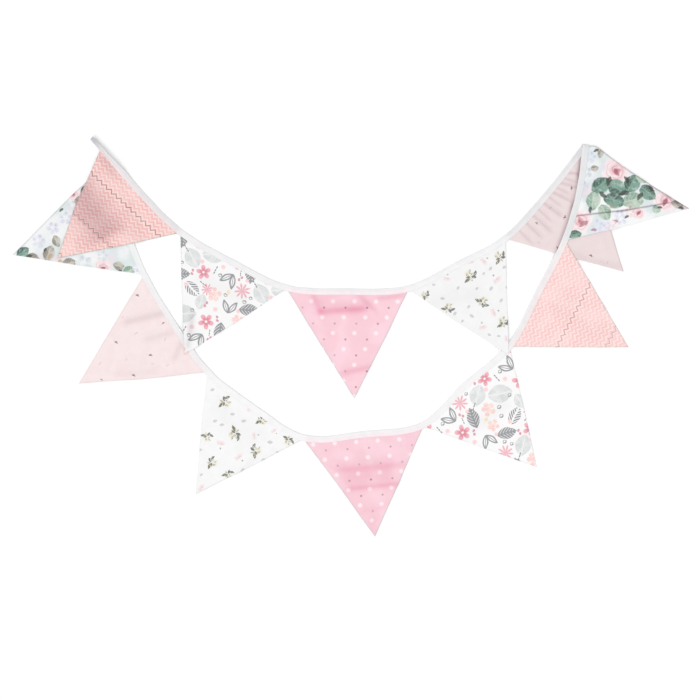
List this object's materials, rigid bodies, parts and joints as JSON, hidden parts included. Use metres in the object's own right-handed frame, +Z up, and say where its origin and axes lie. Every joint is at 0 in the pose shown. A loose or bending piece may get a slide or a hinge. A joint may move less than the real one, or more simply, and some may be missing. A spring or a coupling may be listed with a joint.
{
  "type": "fabric bunting",
  "caption": "String of triangular printed cotton pennants sewn inside a folded white tape, laid flat and doubled back on itself in swags.",
  "frame": {"origin": "on the surface that the bunting lies on, under the middle of its layout", "axes": "+X to the right along the swags, +Y up the layout, +Z up out of the surface"},
  "size_m": [1.083, 0.6402, 0.012],
  "materials": {
    "zigzag": "coral and cream zigzag print, woven cotton",
    "woodland": "pale leaf and flower print, woven cotton",
    "dotted": "pink with pale dots, woven cotton",
    "sprig": "white with small sprigs, woven cotton",
    "pale": "pale pink with tiny sprigs, woven cotton",
    "rose": "rose and leaf print, woven cotton",
    "tape": "white folded cotton tape"
  },
  "bodies": {
    "root": {"tape": "tape", "pennant_01_zigzag": "zigzag", "pennant_02_woodland": "woodland", "pennant_03_dotted": "dotted", "pennant_04_sprig": "sprig", "pennant_05_pale": "pale", "pennant_06_rose": "rose", "pennant_07_zigzag": "zigzag", "pennant_08_woodland": "woodland", "pennant_09_dotted": "dotted", "pennant_10_sprig": "sprig", "pennant_11_pale": "pale", "pennant_12_rose": "rose"}
  },
  "joints": []
}
